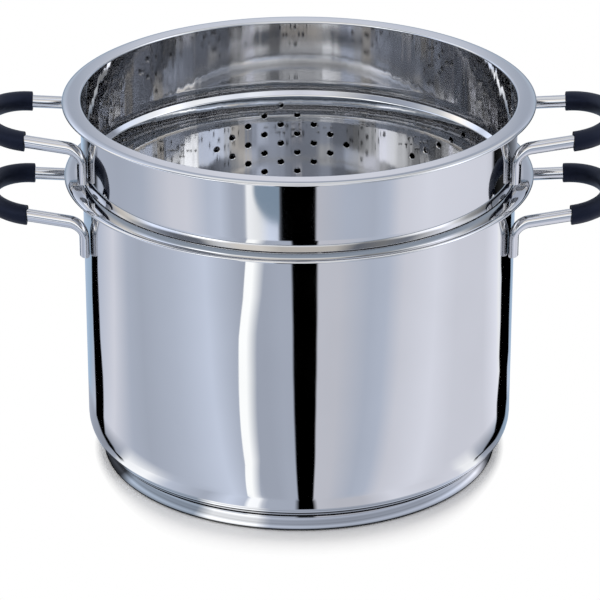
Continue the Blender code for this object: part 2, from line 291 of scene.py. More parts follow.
def hole_cutters():
    """Rods for all holes, each flared at its inner end for a fine chamfer on the basket's inside."""
    mesh = bmesh.new()
    middle_radius = BASKET_INNER_RADIUS + INSERT_SHEET / 2
    chamfer_end = INSERT_SHEET / 2 - HOLE_CHAMFER
    section = [
        (HOLE_RADIUS, -HOLE_CUT_REACH),
        (HOLE_RADIUS, chamfer_end),
        (HOLE_RADIUS + HOLE_FLARE, chamfer_end + HOLE_FLARE),
    ]

    def rod(place):
        rings = []
        for radius, along in section:
            ring = []
            for side in range(HOLE_SIDES):
                turn = 2 * math.pi * side / HOLE_SIDES
                spot = Vector((radius * math.cos(turn), radius * math.sin(turn), along))
                ring.append(mesh.verts.new(place @ spot))
            rings.append(ring)
        for first, second in zip(rings[:-1], rings[1:]):
            for side in range(HOLE_SIDES):
                after = (side + 1) % HOLE_SIDES
                mesh.faces.new((first[side], first[after], second[after], second[side]))
        mesh.faces.new(list(reversed(rings[0])))
        mesh.faces.new(rings[-1])

    lying = Matrix.Rotation(math.radians(90), 4, "X")
    wall_middle = BASKET_FLOOR + WALL_GROUP_ABOVE_FLOOR
    for index in range(WALL_GROUPS):
        heading = math.radians(WALL_GROUP_START + index * 360 / WALL_GROUPS)
        for across, up in diamond(WALL_GROUP_COLUMNS):
            turn = Matrix.Rotation(-heading - across / BASKET_INNER_RADIUS, 4, "Z")
            rod(turn @ Matrix.Translation((0.0, middle_radius, wall_middle + up)) @ lying)
    floor_middle = BASKET_FLOOR - INSERT_SHEET / 2
    for index in range(FLOOR_GROUPS):
        heading = math.radians(WALL_GROUP_START + (index + 0.5) * 360 / FLOOR_GROUPS)
        turn = Matrix.Rotation(-heading, 4, "Z")
        for across, out in diamond(FLOOR_GROUP_COLUMNS):
            rod(turn @ Matrix.Translation((across, FLOOR_GROUP_RADIUS + out, floor_middle)))
    for across, along in diamond(FLOOR_CENTRE_COLUMNS):
        rod(Matrix.Translation((across, along, floor_middle)))
    return as_object("hole_cutters", mesh)


def punched(shell, cutters):
    """The shell with the cutters taken out of it, as a plain mesh."""
    punch = shell.modifiers.new("holes", "BOOLEAN")
    punch.operation = "DIFFERENCE"
    punch.solver = "EXACT"
    punch.object = cutters
    depsgraph = bpy.context.evaluated_depsgraph_get()
    data = bpy.data.meshes.new_from_object(shell.evaluated_get(depsgraph))
    shell.modifiers.clear()
    shell.data = data
    bpy.data.objects.remove(cutters, do_unlink=True)
    data.set_sharp_from_angle(angle=math.radians(SHARP_EDGE_ANGLE))
    weighted = shell.modifiers.new("even_shading", "WEIGHTED_NORMAL")
    weighted.mode = "FACE_AREA"
    weighted.weight = FLAT_FACE_WEIGHT
    weighted.keep_sharp = True
    return shell


def loop_points(rim_height):
    rise = math.tan(math.radians(LOOP_RISE_ANGLE))
    middle = rim_height - LOOP_BELOW_RIM
    half = LEG_SPACING / 2
    points = []
    for i in range(LOOP_STEPS + 1):
        turn = math.radians(-90 + 180 * i / LOOP_STEPS)
        out = LOOP_DEPTH * math.cos(turn)
        points.append(Vector((LOOP_START + out, half * math.sin(turn), middle + out * rise)))
    return points


def foot_place(wall_radius):
    reach = wall_radius + SEAT_GAP + FOOT_HALF_THICKNESS
    across = -FOOT_SPACING / 2
    out = math.sqrt(reach**2 - across**2)
    return Vector((out, across, 0.0)), Vector((-across, out, 0.0)).normalized()


def near_leg(wall_radius, rim_height):
    """Stations of the near leg: place, direction across, and how flat the rod is there."""
    foot, along_wall = foot_place(wall_radius)
    loop_start = loop_points(rim_height)[0]
    rise = math.tan(math.radians(LOOP_RISE_ANGLE))
    run = Vector((loop_start.x - foot.x, loop_start.y - foot.y, 0.0))
    heading = run.normalized()
    across_leg = Vector((-heading.y, heading.x, 0.0))
    corner_height = loop_start.z - run.length * rise
    turn_angle = math.radians(90 - LOOP_RISE_ANGLE)
    setback = ROD_BEND_RADIUS * math.tan(turn_angle / 2)
    bottom = rim_height - FOOT_BELOW_RIM
    bend_start = corner_height - setback
    stations = [(Vector((foot.x, foot.y, bottom)), along_wall, 1.0)]
    stations.append((Vector((foot.x, foot.y, (bottom + bend_start) / 2)), along_wall, 1.0))
    for i in range(ROD_BEND_STEPS + 1):
        share = i / ROD_BEND_STEPS
        turn = turn_angle * share
        out = ROD_BEND_RADIUS * (1 - math.cos(turn))
        up = ROD_BEND_RADIUS * math.sin(turn)
        place = Vector((foot.x, foot.y, bend_start + up)) + heading * out
        flat = 1.0 - share * share * (3 - 2 * share)
        stations.append((place, along_wall.lerp(across_leg, share).normalized(), flat))
    return stations


def rod_stations(wall_radius, rim_height):
    near = near_leg(wall_radius, rim_height)
    stations = list(near)
    loop = loop_points(rim_height)
    for i, place in enumerate(loop):
        turn = math.radians(-90 + 180 * i / LOOP_STEPS)
        ahead = Vector((-LOOP_DEPTH * math.sin(turn), LEG_SPACING / 2 * math.cos(turn), 0.0))
        ahead.normalize()
        stations.append((place, Vector((-ahead.y, ahead.x, 0.0)), 0.0))
    for place, across, flat in reversed(near):
        mirrored = Vector((place.x, -place.y, place.z))
        stations.append((mirrored, Vector((across.x, -across.y, 0.0)), flat))
    return stations


def lofted(name, rings, closed=False):
    """Skin over rings of points, with flat ends unless the last ring joins the first."""
    mesh = bmesh.new()
    rows = [[mesh.verts.new(p) for p in ring] for ring in rings]
    pairs = list(zip(rows[:-1], rows[1:]))
    if closed:
        pairs.append((rows[-1], rows[0]))
    sides = len(rings[0])
    for first, second in pairs:
        for side in range(sides):
            after = (side + 1) % sides
            mesh.faces.new((first[side], first[after], second[after], second[side]))
    if not closed:
        mesh.faces.new(rows[0])
        mesh.faces.new(rows[-1])
    bmesh.ops.recalc_face_normals(mesh, faces=mesh.faces)
    return as_object(name, mesh)


def ring_at(place, ahead, across, half_width, half_thickness):
    across = (across - ahead * across.dot(ahead)).normalized()
    thick = ahead.cross(across)
    points = []
    for side in range(ROD_SIDES):
        turn = 2 * math.pi * side / ROD_SIDES
        offset = across * half_width * math.cos(turn) + thick * half_thickness * math.sin(turn)
        points.append(place + offset)
    return points


def rod(name, wall_radius, rim_height):
    stations = rod_stations(wall_radius, rim_height)
    rings = []
    for i, (place, across, flat) in enumerate(stations):
        before = stations[max(i - 1, 0)][0]
        after = stations[min(i + 1, len(stations) - 1)][0]
        half_width = ROD_RADIUS + (FOOT_HALF_WIDTH - ROD_RADIUS) * flat
        half_thickness = ROD_RADIUS + (FOOT_HALF_THICKNESS - ROD_RADIUS) * flat
        rings.append(ring_at(place, (after - before).normalized(), across, half_width, half_thickness))
    return lofted(name, rings)


def sleeve(name, rim_height):
    points = loop_points(rim_height)
    setback = Vector((GRIP_END_SETBACK, 0.0, GRIP_END_SETBACK * math.tan(math.radians(LOOP_RISE_ANGLE))))
    points[0] = points[0] + setback
    points[-1] = points[-1] + setback
    stations = []
    for i, place in enumerate(points):
        before = points[max(i - 1, 0)]
        after = points[min(i + 1, len(points) - 1)]
        ahead = (after - before).normalized()
        if i in (0, len(points) - 1):
            ahead = Vector((1.0 if i == 0 else -1.0, 0.0, 0.0))
        stations.append((place, ahead, Vector((-ahead.y, ahead.x, 0.0)).normalized()))

    def ring(station, radius, along=0.0):
        place, ahead, across = station
        return ring_at(place + ahead * along, ahead, across, radius, radius)

    def rounded_end(station, side, angles):
        """Rings round one end, from its flat face at 0 degrees to the sleeve's side at 90."""
        made = []
        for angle in angles:
            turn = math.radians(angle)
            radius = GRIP_RADIUS - GRIP_EDGE_BEND * (1 - math.sin(turn))
            made.append(ring(station, radius, side * GRIP_EDGE_BEND * (1 - math.cos(turn))))
        return made

    rings = [ring(stations[0], GRIP_BORE)] + rounded_end(stations[0], 1, (0, 30, 60, 90))
    rings += [ring(s, GRIP_RADIUS) for s in stations[1:-1]]
    rings += rounded_end(stations[-1], -1, (90, 60, 30, 0)) + [ring(stations[-1], GRIP_BORE)]
    rings += [ring(s, GRIP_BORE) for s in reversed(stations[1:-1])]
    return lofted(name, rings, closed=True)


# Finishes
POT_STEEL = (0.64, 0.64, 0.645)
CAP_STEEL = (0.62, 0.62, 0.625)
ROD_STEEL = (0.63, 0.63, 0.64)
CORE_METAL = (0.60, 0.60, 0.60)
SILICONE_DARK, SILICONE_LIGHT = (0.003, 0.0038, 0.007), (0.005, 0.0065, 0.011)
SILICONE_SHEEN = (0.45, 0.55, 1.0)
DARKER_TINT = 0.96
HAZE_LEAST, HAZE_MOST = 0.7, 1.4
SCRATCH_DEPTH = 0.0000006
SIDE_CHANGE = 0.005

# Studio: what polished steel mirrors, as (heading, brightness, tint). Heading 0 is towards the camera
# and grows towards +X. The table's headings are measured round the tip of a black wedge that lies on it.
COOL = (0.87, 0.96, 1.16)
BLUE = (0.72, 0.98, 1.3)
STEEL_BLUE = (0.82, 0.97, 1.2)
PLAIN = (0.98, 1.0, 1.03)
LILAC = (0.95, 0.975, 1.09)
WARM = (1.05, 1.0, 0.93)

# The table's panels: near the pot, beyond FAR_START, close beside the pot, and beside its base
TABLE_LIGHT = 1.25
WEDGE_TIP = (0.0035, -0.108)
TABLE = [
    (-180, 0.50, COOL),
    (-141, 0.45, BLUE),
    (-134, 0.50, COOL),
    (-131, 0.58, COOL),
    (-117, 0.78, LILAC),
    (-106, 0.55, COOL),
    (-97, 0.51, COOL),
    (-77, 0.61, COOL),
    (-57, 0.76, COOL),
    (-47, 0.62, COOL),
    (-34, 0.46, COOL),
    (-22, 0.47, COOL),
    (-12, 0.51, COOL),
    (-5.6, 0.51, COOL),
    (-5.0, 0.0, PLAIN),
    (10.3, 0.0, PLAIN),
    (10.9, 0.65, LILAC),
    (24, 0.64, LILAC),
    (43, 0.56, COOL),
    (53, 0.60, COOL),
    (63, 0.74, LILAC),
    (83, 0.86, LILAC),
    (97, 0.76, LILAC),
    (117, 0.74, LILAC),
    (128, 0.88, LILAC),
    (131, 0.95, PLAIN),
    (136, 0.60, COOL),
    (148, 0.42, BLUE),
    (180, 0.50, COOL),
]
FAR_TABLE = [
    (-180, 0.60, COOL),
    (-155, 0.52, BLUE),
    (-144, 0.22, COOL),
    (-141, 0.02, COOL),
    (-131, 0.02, COOL),
    (-128, 0.50, COOL),
    (-110, 0.50, COOL),
    (-92, 0.55, COOL),
    (-74, 0.74, LILAC),
    (-64, 0.76, LILAC),
    (-52, 0.63, COOL),
    (-45, 0.67, COOL),
    (-38, 0.50, COOL),
    (-31, 0.47, COOL),
    (-30.4, 1.10, PLAIN),
    (-27, 1.04, PLAIN),
    (-23, 0.96, PLAIN),
    (-17, 0.88, COOL),
    (-11.6, 0.82, COOL),
    (-11.2, 0.0, PLAIN),
    (8.6, 0.0, PLAIN),
    (9.3, 0.60, LILAC),
    (27, 0.56, COOL),
    (42, 0.53, COOL),
    (50, 0.60, COOL),
    (58, 0.75, LILAC),
    (75, 0.84, LILAC),
    (115, 0.78, LILAC),
    (120, 0.70, LILAC),
    (122, 0.0, PLAIN),
    (136, 0.03, PLAIN),
    (180, 0.60, COOL),
]
BESIDE_POT = [
    (-180, 0.50, COOL),
    (-95, 0.36, COOL),
    (-80, 0.32, COOL),
    (-72, 0.42, COOL),
    (-66, 1.1, PLAIN),
    (-54, 1.15, PLAIN),
    (-44, 0.66, COOL),
    (-30, 0.50, COOL),
    (-22, 0.82, COOL),
    (-15.8, 0.62, COOL),
    (-15.5, 1.24, PLAIN),
    (-12.6, 1.20, PLAIN),
    (-10.8, 0.52, COOL),
    (-0.6, 0.51, COOL),
    (-0.45, 0.0, PLAIN),
    (5.4, 0.0, PLAIN),
    (5.6, 0.65, LILAC),
    (12, 0.60, LILAC),
    (20, 0.60, LILAC),
    (30, 0.84, LILAC),
    (45, 0.76, LILAC),
    (56, 0.80, LILAC),
    (60, 1.05, PLAIN),
    (66, 1.05, PLAIN),
    (72, 0.42, COOL),
    (80, 0.32, COOL),
    (95, 0.36, BLUE),
    (180, 0.50, COOL),
]
BESIDE_BASE = [
    (-180, 0.45, STEEL_BLUE),
    (-84, 0.40, STEEL_BLUE),
    (-79, 0.05, COOL),
    (-66, 0.05, COOL),
    (-60, 0.48, STEEL_BLUE),
    (-32, 0.38, STEEL_BLUE),
    (-27, 1.15, PLAIN),
    (-13, 1.05, PLAIN),
    (-9, 0.50, COOL),
    (16, 0.42, COOL),
    (40, 0.48, COOL),
    (52, 0.65, COOL),
    (66, 0.85, LILAC),
    (76, 0.08, COOL),
    (86, 0.10, COOL),
    (95, 0.45, STEEL_BLUE),
]
# How the table's light changes with the distance from the axis: painted light and dark rings, which the
# base's side mirrors as level lines; the darkest, nearest the base, is painted contact shade
PAINTED_BASE_LINES = [(0.1128, 0.04), (0.1133, 0.6), (0.1139, 0.8), (0.1147, 1.2), (0.1154, 1.4)]
PAINTED_BASE_LINES += [(0.1162, 1.0), (0.1169, 0.68), (0.1177, 0.88), (0.1191, 0.8), (0.1199, 1.05)]
PAINTED_BASE_LINES += [(0.1206, 1.35), (0.1213, 0.85)]
RINGS_START, RINGS_END = 0.11, 0.13

# Where one set of panels gives way to the next, as start and end of the change
BESIDE_BASE_REACH = (0.1213, 0.1225)
BESIDE_POT_REACH = (0.148, 0.162)
FAR_START = (0.39, 0.405)

# The far panels start this much further out at the sides, growing between two headings
FAR_SHIFT_ASIDE = 0.085
ASIDE_HEADINGS = (60, 125)

# The white strip's left edge, as (distance from the wedge's tip, heading), and how its light falls off
STRIP_EDGE = [(0.05, -50.5), (0.067, -49), (0.099, -44), (0.135, -42.8), (0.24, -39), (0.285, -35.3)]
STRIP_EDGE += [(0.34, -32.6), (0.39, -31)]
STRIP_COLOUR = (1.22, 1.24, 1.24)
STRIP_RISE = 0.54
STRIP_FADE = (5, 12)

# Black bands at both sides, as (distance, edge towards the camera, edge away from it), and their blur
LEFT_BAND = [(0.145, -112.5, -115), (0.163, -116, -118), (0.18, -122, -124), (0.2, -124, -130)]
LEFT_BAND += [(0.25, -126, -134), (0.3, -129, -137), (0.36, -131, -139.5), (0.4, -132, -140)]
RIGHT_BAND = [(0.14, 113, 115), (0.157, 117.5, 120), (0.175, 124, 128), (0.19, 126.5, 134)]
RIGHT_BAND += [(0.21, 127.5, 138), (0.25, 131, 141), (0.27, 131, 144), (0.32, 133, 146)]
RIGHT_BAND += [(0.38, 134, 149), (0.4, 133, 149)]
BAND_START_FADE = 0.01
BAND_END_FADE = (0.475, 0.49)
BAND_BLUR = 0.36

# A blue-grey shade on the far table, as an ellipse in heading and distance
PATCH_HEADING, PATCH_DISTANCE = -11.0, 0.52
PATCH_HALF_ANGLE, PATCH_HALF_LENGTH = 15.0, 0.065
PATCH_BLUR = (0.85, 1.15)
PATCH_COLOUR = (0.24, 0.32, 0.42)
PATCH_END = (-11.7, -11.2)

# The room above the table, from low panels to the ceiling
LOW_STUDIO = [
    (-180, 0.96, LILAC),
    (-177.6, 0.96, LILAC),
    (-175.8, 0.56, COOL),
    (-168, 0.70, COOL),
    (-150, 1.1, COOL),
    (-136, 1.5, COOL),
    (-124, 0.7, COOL),
    (-113, 1.1, WARM),
    (-106, 1.3, WARM),
    (-98, 1.4, PLAIN),
    (-86, 2.2, COOL),
    (-70, 2.0, COOL),
    (-62, 2.2, PLAIN),
    (-57, 3.3, PLAIN),
    (-43, 3.5, PLAIN),
    (-36, 2.0, PLAIN),
    (-22, 1.8, PLAIN),
    (12, 1.7, PLAIN),
    (29, 1.2, PLAIN),
    (35, 0.55, PLAIN),
    (46, 0.7, PLAIN),
    (66, 2.3, PLAIN),
    (82, 2.8, LILAC),
    (93, 1.6, PLAIN),
    (103, 0.75, PLAIN),
    (118, 0.35, PLAIN),
    (131, 0.42, COOL),
    (140, 0.42, COOL),
    (147, 0.85, COOL),
    (158, 0.68, COOL),
    (175.8, 0.56, COOL),
    (177.6, 0.96, LILAC),
]
MIDDLE_STUDIO = [
    (-180, 0.55, COOL),
    (-165, 0.72, COOL),
    (-148, 1.02, COOL),
    (-136, 0.76, COOL),
    (-125, 1.4, COOL),
    (-116, 1.6, WARM),
    (-106, 0.9, PLAIN),
    (-90, 0.6, COOL),
    (-74, 0.3, COOL),
    (-58, 0.32, COOL),
    (-51, 1.0, PLAIN),
    (-44, 1.35, PLAIN),
    (-34, 1.4, WARM),
    (-22, 1.45, WARM),
    (-10, 1.05, WARM),
    (20, 1.05, WARM),
    (33, 0.3, COOL),
    (48, 0.4, PLAIN),
    (64, 0.4, COOL),
    (74, 1.0, PLAIN),
    (95, 1.9, LILAC),
    (108, 1.35, PLAIN),
    (124, 1.25, COOL),
    (134, 0.65, COOL),
    (148, 1.1, PLAIN),
    (165, 0.55, COOL),
    (180, 0.55, COOL),
]
UPPER_STUDIO = [
    (-180, 1.1, PLAIN),
    (-140, 1.4, PLAIN),
    (-112, 1.2, PLAIN),
    (-100, 0.6, COOL),
    (-70, 0.5, COOL),
    (-52, 0.42, COOL),
    (-35, 0.5, COOL),
    (-20, 0.8, PLAIN),
    (-4, 0.6, COOL),
    (16, 0.55, COOL),
    (40, 1.2, COOL),
    (85, 1.35, PLAIN),
    (110, 0.95, PLAIN),
    (126, 0.52, PLAIN),
    (140, 0.8, PLAIN),
    (180, 1.1, PLAIN),
]
TOP_STUDIO = [
    (-180, 0.82, PLAIN),
    (-120, 1.08, PLAIN),
    (-80, 1.0, PLAIN),
    (-50, 1.0, PLAIN),
    (-20, 1.05, LILAC),
    (0, 0.96, LILAC),
    (25, 1.1, LILAC),
    (50, 1.4, PLAIN),
    (66, 1.0, PLAIN),
    (108, 0.75, PLAIN),
    (125, 1.05, PLAIN),
    (160, 0.86, PLAIN),
    (180, 0.82, PLAIN),
]

# Below the lowest panels: the horizon's colour, the haze's, and the heights between which they change
HORIZON = (0.20, 0.25, 0.33)
HAZE = (0.55, 0.64, 0.77)
HAZE_RISE = (0.06, 0.14)

# Each set of panels, with the heights between which it takes over from the one below
STUDIO_ZONES = (
    (LOW_STUDIO, 0.24, 0.37),
    (MIDDLE_STUDIO, 0.49, 0.54),
    (UPPER_STUDIO, 0.78, 0.84),
    (TOP_STUDIO, 0.9, 0.95),
)

# What matt surfaces get in place of the studio
PLAIN_LIGHT = 0.75

# Stage: floor and mirrored table lie just under the base, each at its own height. A painted white glow
# covers the floor's shadow for the camera, more with the gap to the base, and sooner at the sides.
FLOOR_HALF_SIZE, FLOOR_HEIGHT = 6.0, -0.0002
MIRROR_HALF_SIZE, MIRROR_HEIGHT = 8.0, -0.0004
FLOOR_PAINT = (1.0, 0.99, 0.98)
FLOOR_BOUNCE = (0.62, 0.61, 0.6)
SHADOW_FADE = (0.008, 0.0285)
SHADOW_NARROWING = 4.0
SHADOW_SIDE_POWER = 5.0
TOP_LIGHT_PLACE, TOP_LIGHT_ENERGY, TOP_LIGHT_ANGLE = (0.0, 0.0, 1.0), 0.7, 10.0
KEY_LIGHT_PLACE, KEY_LIGHT_POWER, KEY_LIGHT_SIZE = (-0.6, -0.9, 1.9), 4.5, 1.2
LIGHT_TARGET = (0.0, 0.0, 0.1)

# Light crosses the polished insert more often than Blender's default of four mirrorings
GLOSSY_BOUNCES = 12

# Camera, fitted to the photo, with its two angles in radians
CAMERA_PLACE = (0.0, -1.70237, 0.85587)
CAMERA_LOOKS_DOWN = 0.4236
CAMERA_HEADING = -0.0003
FOCAL_LENGTH_PIXELS = 3290.9
PICTURE_WIDTH_PIXELS = 600
SENSOR_WIDTH = 36.0


def new_material(name):
    made = bpy.data.materials.new(name)
    made.use_nodes = True
    return made, made.node_tree.nodes, made.node_tree.links, made.node_tree.nodes["Principled BSDF"]


def math_node(nodes, links, operation, *values):
    made = nodes.new("ShaderNodeMath")
    made.operation = operation
    for socket, value in zip(made.inputs, values):
        if isinstance(value, (int, float)):
            socket.default_value = value
        else:
            links.new(value, socket)
    return made.outputs["Value"]


def vector_node(nodes, links, operation, first, second=None):
    made = nodes.new("ShaderNodeVectorMath")
    made.operation = operation
    links.new(first, made.inputs[0])
    if isinstance(second, tuple):
        made.inputs[1].default_value = second
    elif second is not None:
        links.new(second, made.inputs[1])
    return made.outputs["Value" if operation in ("LENGTH", "DOT_PRODUCT") else "Vector"]


def ranged(nodes, links, value, low, high, start=0.3, end=0.7):
    """Low where the value is at start, high where it is at end, and a straight run between them."""
    spread = nodes.new("ShaderNodeMapRange")
    spread.inputs["From Min"].default_value = start
    spread.inputs["From Max"].default_value = end
    spread.inputs["To Min"].default_value = low
    spread.inputs["To Max"].default_value = high
    links.new(value, spread.inputs["Value"])
    return spread.outputs["Result"]


def mixed(nodes, links, share, first, second):
    made = nodes.new("ShaderNodeMix")
    made.data_type = "RGBA"
    links.new(share, made.inputs["Factor"])
    for socket, value in ((made.inputs["A"], first), (made.inputs["B"], second)):
        if isinstance(value, tuple):
            socket.default_value = (*value, 1.0)
        else:
            links.new(value, socket)
    return made.outputs["Result"]


def noise(nodes, links, scale, detail, stretch=(1.0, 1.0, 1.0)):
    place = nodes.new("ShaderNodeTexCoord")
    mapping = nodes.new("ShaderNodeMapping")
    mapping.inputs["Scale"].default_value = stretch
    texture = nodes.new("ShaderNodeTexNoise")
    texture.inputs["Scale"].default_value = scale
    texture.inputs["Detail"].default_value = detail
    links.new(place.outputs["Object"], mapping.inputs["Vector"])
    links.new(mapping.outputs["Vector"], texture.inputs["Vector"])
    return texture.outputs["Fac"]


def mottled(nodes, links, first, second, scale, detail):
    """A colour that wanders between two others."""
    share = ranged(nodes, links, noise(nodes, links, scale, detail), 0.0, 1.0)
    return mixed(nodes, links, share, first, second)


def bump(nodes, links, height, distance, normal=None, strength=None):
    made = nodes.new("ShaderNodeBump")
    made.inputs["Distance"].default_value = distance
    links.new(height, made.inputs["Height"])
    if strength is not None:
        links.new(strength, made.inputs["Strength"])
    if normal is not None:
        links.new(normal, made.inputs["Normal"])
    return made.outputs["Normal"]


def facing_share(nodes, links, inwards, outwards):
    """One value where the surface faces the pot's axis and another where it faces outwards."""
    place = nodes.new("ShaderNodeTexCoord")
    facing = vector_node(nodes, links, "DOT_PRODUCT", place.outputs["Object"], place.outputs["Normal"])
    return ranged(nodes, links, facing, inwards, outwards, -SIDE_CHANGE, SIDE_CHANGE)


def tilted_down(nodes, links, amount):
    """The surface's normal leant towards the table, as on a slightly barrelled side."""
    normal = nodes.new("ShaderNodeNewGeometry").outputs["Normal"]
    leant = vector_node(nodes, links, "ADD", normal, (0.0, 0.0, -amount))
    return vector_node(nodes, links, "NORMALIZE", leant)


def steel(name, colour, roughness, wave, streaks=0.0, rings=0.0, lean=0.0, hollow=False):
    """Polished stainless steel: faint waves of the pressed sheet, polishing haze and fine scratches.

    Streaks are upright waves on the inner side only, and rings are turned grooves round the axis. A
    hollow shell has its scratches outside, because each mirroring inside makes them look coarser.
    """
    made, nodes, links, shader = new_material(name)
    shader.inputs["Metallic"].default_value = 1.0
    darker = tuple(c * DARKER_TINT for c in colour)
    tint = mottled(nodes, links, colour, darker, scale=18.0, detail=3.0)
    links.new(tint, shader.inputs["Base Color"])
    haze = noise(nodes, links, scale=35.0, detail=5.0)
    haze = ranged(nodes, links, haze, roughness * HAZE_LEAST, roughness * HAZE_MOST)
    links.new(haze, shader.inputs["Roughness"])

    normal = tilted_down(nodes, links, lean) if lean else None
    sheet = noise(nodes, links, scale=30.0, detail=1.0, stretch=(1.0, 1.0, 0.8))
    normal = bump(nodes, links, sheet, wave, normal)
    if streaks:
        upright = noise(nodes, links, scale=80.0, detail=2.0, stretch=(1.0, 1.0, 0.04))
        normal = bump(nodes, links, upright, streaks, normal, facing_share(nodes, links, 1.0, 0.0))
    if rings:
        grooves = noise(nodes, links, scale=12.0, detail=2.0, stretch=(0.2, 0.2, 60.0))
        normal = bump(nodes, links, grooves, rings, normal)
    outside = facing_share(nodes, links, 0.0, 1.0) if hollow else None
    scratches = noise(nodes, links, scale=900.0, detail=2.0)
    normal = bump(nodes, links, scratches, SCRATCH_DEPTH, normal, outside)
    links.new(normal, shader.inputs["Normal"])
    return made


def silicone(name):
    """Soft black silicone: deep blue-black, fine moulded grain, worn a little smoother in places."""
    made, nodes, links, shader = new_material(name)
    shader.inputs["Specular IOR Level"].default_value = 0.3
    shader.inputs["Specular Tint"].default_value = (*SILICONE_SHEEN, 1.0)
    tint = mottled(nodes, links, SILICONE_DARK, SILICONE_LIGHT, scale=60.0, detail=4.0)
    links.new(tint, shader.inputs["Base Color"])
    wear = ranged(nodes, links, noise(nodes, links, scale=90.0, detail=4.0), 0.4, 0.55)
    links.new(wear, shader.inputs["Roughness"])
    grain = noise(nodes, links, scale=2600.0, detail=3.0)
    links.new(bump(nodes, links, grain, distance=0.00001), shader.inputs["Normal"])
    return made


def share_of_turn(heading):
    return (heading + 180) / 360


def ramp(nodes, links, value, stops):
    """A colour ramp with the given (position, colour) stops."""
    made = nodes.new("ShaderNodeValToRGB")
    elements = made.color_ramp.elements
    elements.remove(elements[-1])
    for index, (position, colour) in enumerate(stops):
        element = elements[0] if index == 0 else elements.new(position)
        element.position = position
        element.color = (*colour, 1.0)
    links.new(value, made.inputs["Fac"])
    return made.outputs["Color"]


def studio_ramp(nodes, links, turn, panels):
    stops = []
    for heading, brightness, tint in panels:
        stops.append((share_of_turn(heading), tuple(brightness * t for t in tint)))
    return ramp(nodes, links, turn, stops)


def bent_edge(nodes, links, distance, edge):
    """The heading of an edge on the table at a distance, as a share of the full turn."""
    return ramp(nodes, links, distance, [(reach, (share_of_turn(heading),) * 3) for reach, heading in edge])


def heading_share(nodes, links, vector):
    """The heading of a vector as a share of the full turn, 0.5 towards the camera."""
    split = nodes.new("ShaderNodeSeparateXYZ")
    links.new(vector, split.inputs["Vector"])
    to_camera = math_node(nodes, links, "MULTIPLY", split.outputs["Y"], -1.0)
    heading = math_node(nodes, links, "ARCTAN2", split.outputs["X"], to_camera)
    return math_node(nodes, links, "ADD", math_node(nodes, links, "DIVIDE", heading, 2 * math.pi), 0.5)


def side_band(nodes, links, turn, distance, band):
    """1 between the band's two edges, from its near end to where the pot's wall stops mirroring it."""
    near_end = band[0][0]
    share = math_node(
        nodes,
        links,
        "MULTIPLY",
        ranged(nodes, links, distance, 1.0, 0.0, *BAND_END_FADE),
        ranged(nodes, links, distance, 0.0, 1.0, near_end - BAND_START_FADE, near_end),
    )
    low = [(reach, min(first, second)) for reach, first, second in band]
    high = [(reach, max(first, second)) for reach, first, second in band]
    for edge, inside in ((low, 1.0), (high, 0.0)):
        past = math_node(nodes, links, "SUBTRACT", turn, bent_edge(nodes, links, distance, edge))
        side = ranged(nodes, links, past, 1.0 - inside, inside, -BAND_BLUR / 360, BAND_BLUR / 360)
        share = math_node(nodes, links, "MULTIPLY", share, side)
    return share


def white_strip(nodes, links, turn, distance):
    """1 along the strip's left edge, fading to 0 towards the black wedge."""
    past = math_node(nodes, links, "SUBTRACT", turn, bent_edge(nodes, links, distance, STRIP_EDGE))
    rise = ranged(nodes, links, past, 0.0, 1.0, 0.0, STRIP_RISE / 360)
    fade = ranged(nodes, links, past, 1.0, 0.0, STRIP_FADE[0] / 360, STRIP_FADE[1] / 360)
    return math_node(nodes, links, "MULTIPLY", rise, fade)


def shaded_patch(nodes, links, turn, distance):
    """1 inside an ellipse on the far table that ends at the black wedge."""
    across = math_node(nodes, links, "SUBTRACT", turn, 0.5 + PATCH_HEADING / 360)
    across = math_node(nodes, links, "DIVIDE", across, PATCH_HALF_ANGLE / 360)
    along = math_node(nodes, links, "SUBTRACT", distance, PATCH_DISTANCE)
    along = math_node(nodes, links, "DIVIDE", along, PATCH_HALF_LENGTH)
    along = math_node(nodes, links, "MULTIPLY", along, along)
    from_centre = math_node(nodes, links, "MULTIPLY_ADD", across, across, along)
    inside = ranged(nodes, links, from_centre, 1.0, 0.0, *PATCH_BLUR)
    beside_wedge = ranged(nodes, links, turn, 1.0, 0.0, *(share_of_turn(edge) for edge in PATCH_END))
    return math_node(nodes, links, "MULTIPLY", inside, beside_wedge)


